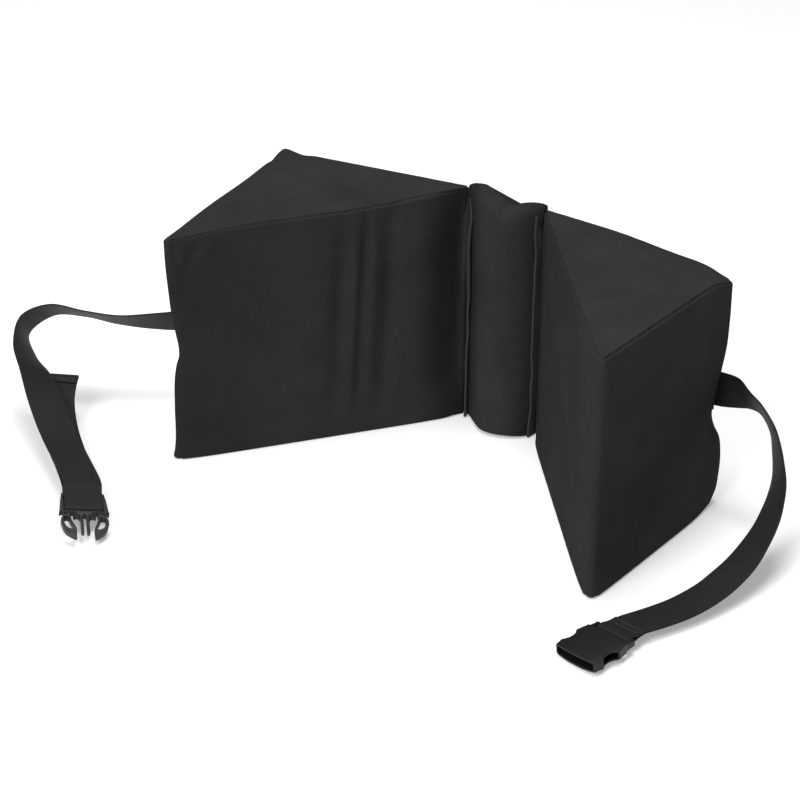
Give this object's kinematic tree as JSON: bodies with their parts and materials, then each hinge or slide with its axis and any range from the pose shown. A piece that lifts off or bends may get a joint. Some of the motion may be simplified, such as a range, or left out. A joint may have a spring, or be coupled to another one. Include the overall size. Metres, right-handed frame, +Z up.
{
  "type": "lateral support cushion",
  "caption": "Free-standing trunk support: two upright triangular foam wedges in black cloth, hinged to a padded centre panel, with side straps ending in a side-release buckle.",
  "frame": {"origin": "on the floor, at the middle of the cushion's footprint without its straps", "axes": "+Z up; -Y to the front, the open side between the wedges; +X to the right of someone facing the front of the cushion from -Y"},
  "size_m": [0.8231, 0.4478, 0.254],
  "materials": {
    "cover": "matte brushed knit",
    "seam": "matte folded cloth",
    "foam": "open-cell foam",
    "webbing": "woven polypropylene",
    "thread": "satin thread",
    "buckle": "fine moulded texture",
    "zip_tape": "tight weave",
    "zip_teeth": "nylon coil",
    "zip_metal": "black enamel"
  },
  "bodies": {
    "centre": {"centre_foam_pad": "foam", "centre_front_cover": "cover", "centre_back_cover": "cover", "left_hinge_seam": "seam", "right_hinge_seam": "seam"},
    "left_wedge": {"left_foam_core": "foam", "left_inner_panel": "cover", "left_outer_panel": "cover", "left_back_panel": "cover", "left_top_panel": "cover", "left_bottom_panel": "cover", "left_zip_tape": "zip_tape", "left_zip_teeth": "zip_teeth", "left_strap_anchor": "webbing", "left_strap": "webbing", "left_strap_tail": "webbing", "tail_hem_stitching": "thread", "male_buckle_frame": "buckle"},
    "right_wedge": {"right_foam_core": "foam", "right_inner_panel": "cover", "right_outer_panel": "cover", "right_back_panel": "cover", "right_top_panel": "cover", "right_bottom_panel": "cover", "right_zip_tape": "zip_tape", "right_zip_teeth": "zip_teeth", "right_strap_anchor": "webbing", "right_strap": "webbing", "right_strap_loop": "webbing", "loop_stitching": "thread"},
    "left_zip_slider": {"left_zip_slider": "zip_metal"},
    "left_zip_pull": {"left_zip_pull": "zip_metal"},
    "right_zip_slider": {"right_zip_slider": "zip_metal"},
    "right_zip_pull": {"right_zip_pull": "zip_metal"},
    "male_left_arm": {"male_buckle_left_arm": "buckle"},
    "male_right_arm": {"male_buckle_right_arm": "buckle"},
    "female_buckle": {"female_buckle_shell": "buckle"}
  },
  "joints": [
    {"name": "left_wedge_fold", "type": "hinge", "parent": "centre", "child": "left_wedge", "pos_m": [-0.041, 0.122, 0.127], "axis": [0, 0, 1], "range_deg": [-160, 40]},
    {"name": "right_wedge_fold", "type": "hinge", "parent": "centre", "child": "right_wedge", "pos_m": [0.041, 0.122, 0.127], "axis": [0, 0, 1], "range_deg": [-40, 160]},
    {"name": "left_zip_run", "type": "slide", "parent": "left_wedge", "child": "left_zip_slider", "axis": [0.9962, 0.0872, 0], "range_m": [0, 0.145]},
    {"name": "left_zip_pull_flip", "type": "hinge", "parent": "left_zip_slider", "child": "left_zip_pull", "pos_m": [-0.22481, 0.11174, 0.036], "axis": [0, 0, 1], "range_deg": [0, 165]},
    {"name": "right_zip_run", "type": "slide", "parent": "right_wedge", "child": "right_zip_slider", "axis": [-0.9962, 0.0872, 0], "range_m": [0, 0.145]},
    {"name": "right_zip_pull_flip", "type": "hinge", "parent": "right_zip_slider", "child": "right_zip_pull", "pos_m": [0.22481, 0.11174, 0.036], "axis": [0, 0, -1], "range_deg": [0, 165]},
    {"name": "male_left_arm_squeeze", "type": "hinge", "parent": "left_wedge", "child": "male_left_arm", "pos_m": [-0.24193, -0.29353, 0.01719], "axis": [0.2424, -0.0354, 0.9695], "range_deg": [0, 8], "stiffness_Nm_per_rad": 0.05},
    {"name": "male_right_arm_squeeze", "type": "hinge", "parent": "left_wedge", "child": "male_right_arm", "pos_m": [-0.22408, -0.27645, 0.01335], "axis": [-0.2424, 0.0354, -0.9695], "range_deg": [0, 8], "stiffness_Nm_per_rad": 0.05},
    {"name": "female_buckle_swing", "type": "hinge", "parent": "right_wedge", "child": "female_buckle", "pos_m": [0.2965, -0.1825, 0.011], "axis": [0.9638, -0.2616, 0.0522], "range_deg": [-75, 75]}
  ]
}
